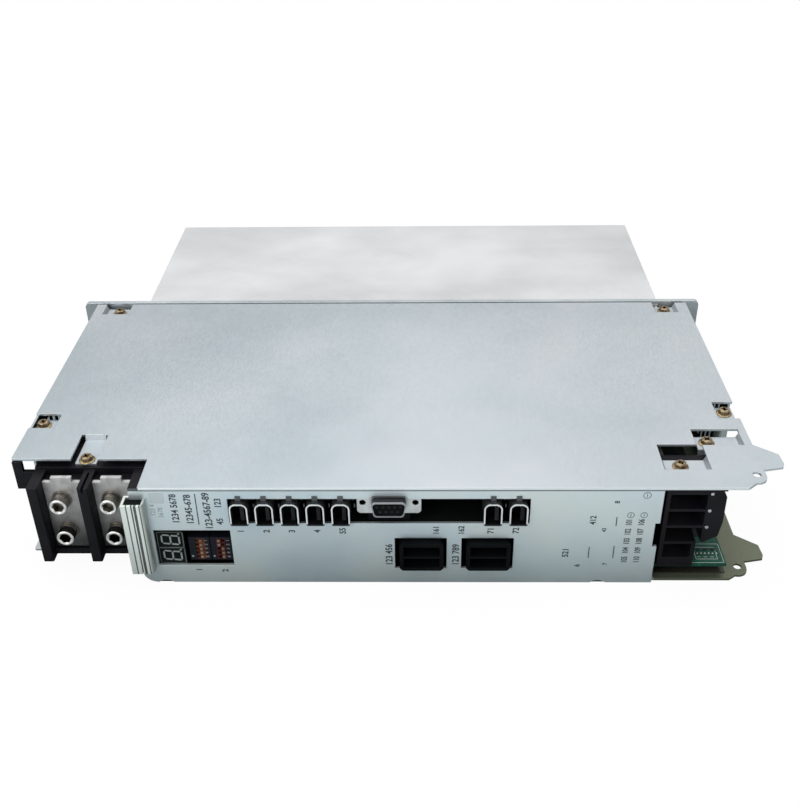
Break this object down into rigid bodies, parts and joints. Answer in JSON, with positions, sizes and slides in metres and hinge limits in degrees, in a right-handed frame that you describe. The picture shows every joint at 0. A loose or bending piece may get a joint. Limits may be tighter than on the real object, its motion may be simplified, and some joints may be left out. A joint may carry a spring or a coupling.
{
  "type": "servo drive module",
  "caption": "Slim panel-mount servo drive module with zinc-plated side covers, front connectors, rear mounting flange and finned heat sink.",
  "frame": {"origin": "centre of the mounting-hole pattern on the flange's rear face, midway across the width", "axes": "+X along the module towards the motor terminals, +Y to the rear towards the heat sink, +Z across the width, up as the module lies on its side"},
  "size_m": [0.3821, 0.3165, 0.0584],
  "materials": {
    "zinc_sheet": "bright zinc-plated sheet, satin",
    "front_sheet": "zinc-plated front plate with printed marks",
    "flange_steel": "zinc-plated plate",
    "sink_aluminium": "plain rolled aluminium",
    "black_moulding": "black glass-filled moulding",
    "connector_black": "black connector moulding",
    "yellow_zinc": "yellow-passivated steel screws",
    "bright_screw": "bright plated steel",
    "bolt_steel": "plated socket-head bolts",
    "tinned_bar": "tin-plated copper",
    "socket_shell": "nickel-plated shell",
    "board_green": "green solder mask",
    "film": "translucent insulating film",
    "chip_black": "moulded packages",
    "digit_black": "dark display face, grey segments",
    "switch_orange": "orange and black switch body",
    "switch_red": "dark red and black switch body",
    "slider_white": "off-white sliders",
    "can_sleeve": "sleeved aluminium can",
    "core_grey": "ferrite and tape"
  },
  "bodies": {
    "drive": {"side_cover": "zinc_sheet", "base_panel": "zinc_sheet", "cover_posts": "bright_screw", "cover_screws": "yellow_zinc", "front_plate": "front_sheet", "terminal_cover_catch": "front_sheet", "mounting_flange": "flange_steel", "heat_sink": "sink_aluminium", "end_plate_left": "zinc_sheet", "end_plate_right": "zinc_sheet", "flange_screws": "yellow_zinc", "sink_screws": "yellow_zinc", "dc_terminal_block": "black_moulding", "dc_busbar_positive": "tinned_bar", "dc_busbar_negative": "tinned_bar", "dc_terminal_washers": "bolt_steel", "dc_terminal_bolts": "bolt_steel", "motor_terminal_block": "black_moulding", "motor_block_pins": "bright_screw", "motor_terminal_plates": "tinned_bar", "motor_terminal_screws": "bright_screw", "power_board": "board_green", "insulation_sheet": "film", "control_board": "board_green", "display_board": "board_green", "board_posts": "bright_screw", "board_screws": "bright_screw", "control_chips": "chip_black", "board_link_header": "connector_black", "link_socket_shells": "socket_shell", "link_socket_inserts": "connector_black", "dsub_shell": "socket_shell", "dsub_insert": "connector_black", "power_header_left": "connector_black", "power_header_right": "connector_black", "power_header_pins": "tinned_bar", "digit_display_upper": "digit_black", "digit_display_lower": "digit_black", "dip_switch_left": "switch_orange", "dip_switch_right": "switch_red", "igbt_module_left": "chip_black", "igbt_module_right": "chip_black", "igbt_screws": "bright_screw", "bus_capacitors": "can_sleeve", "gate_transformers": "core_grey", "current_sensor": "chip_black"},
    "dip_slider_left_1": {"dip_slider_left_1": "slider_white"},
    "dip_slider_left_2": {"dip_slider_left_2": "slider_white"},
    "dip_slider_left_3": {"dip_slider_left_3": "slider_white"},
    "dip_slider_left_4": {"dip_slider_left_4": "slider_white"},
    "dip_slider_left_5": {"dip_slider_left_5": "slider_white"},
    "dip_slider_right_1": {"dip_slider_right_1": "slider_white"},
    "dip_slider_right_2": {"dip_slider_right_2": "slider_white"},
    "dip_slider_right_3": {"dip_slider_right_3": "slider_white"},
    "dip_slider_right_4": {"dip_slider_right_4": "slider_white"},
    "dip_slider_right_5": {"dip_slider_right_5": "slider_white"}
  },
  "joints": [
    {"name": "slide_left_1", "type": "slide", "parent": "drive", "child": "dip_slider_left_1", "axis": [1, 0, 0], "range_m": [-0.0018, 0]},
    {"name": "slide_left_2", "type": "slide", "parent": "drive", "child": "dip_slider_left_2", "axis": [1, 0, 0], "range_m": [-0.0018, 0]},
    {"name": "slide_left_3", "type": "slide", "parent": "drive", "child": "dip_slider_left_3", "axis": [1, 0, 0], "range_m": [-0.0018, 0]},
    {"name": "slide_left_4", "type": "slide", "parent": "drive", "child": "dip_slider_left_4", "axis": [1, 0, 0], "range_m": [-0.0018, 0]},
    {"name": "slide_left_5", "type": "slide", "parent": "drive", "child": "dip_slider_left_5", "axis": [1, 0, 0], "range_m": [-0.0018, 0]},
    {"name": "slide_right_1", "type": "slide", "parent": "drive", "child": "dip_slider_right_1", "axis": [1, 0, 0], "range_m": [0, 0.0018]},
    {"name": "slide_right_2", "type": "slide", "parent": "drive", "child": "dip_slider_right_2", "axis": [1, 0, 0], "range_m": [0, 0.0018]},
    {"name": "slide_right_3", "type": "slide", "parent": "drive", "child": "dip_slider_right_3", "axis": [1, 0, 0], "range_m": [-0.0018, 0]},
    {"name": "slide_right_4", "type": "slide", "parent": "drive", "child": "dip_slider_right_4", "axis": [1, 0, 0], "range_m": [-0.0018, 0]},
    {"name": "slide_right_5", "type": "slide", "parent": "drive", "child": "dip_slider_right_5", "axis": [1, 0, 0], "range_m": [-0.0018, 0]}
  ]
}
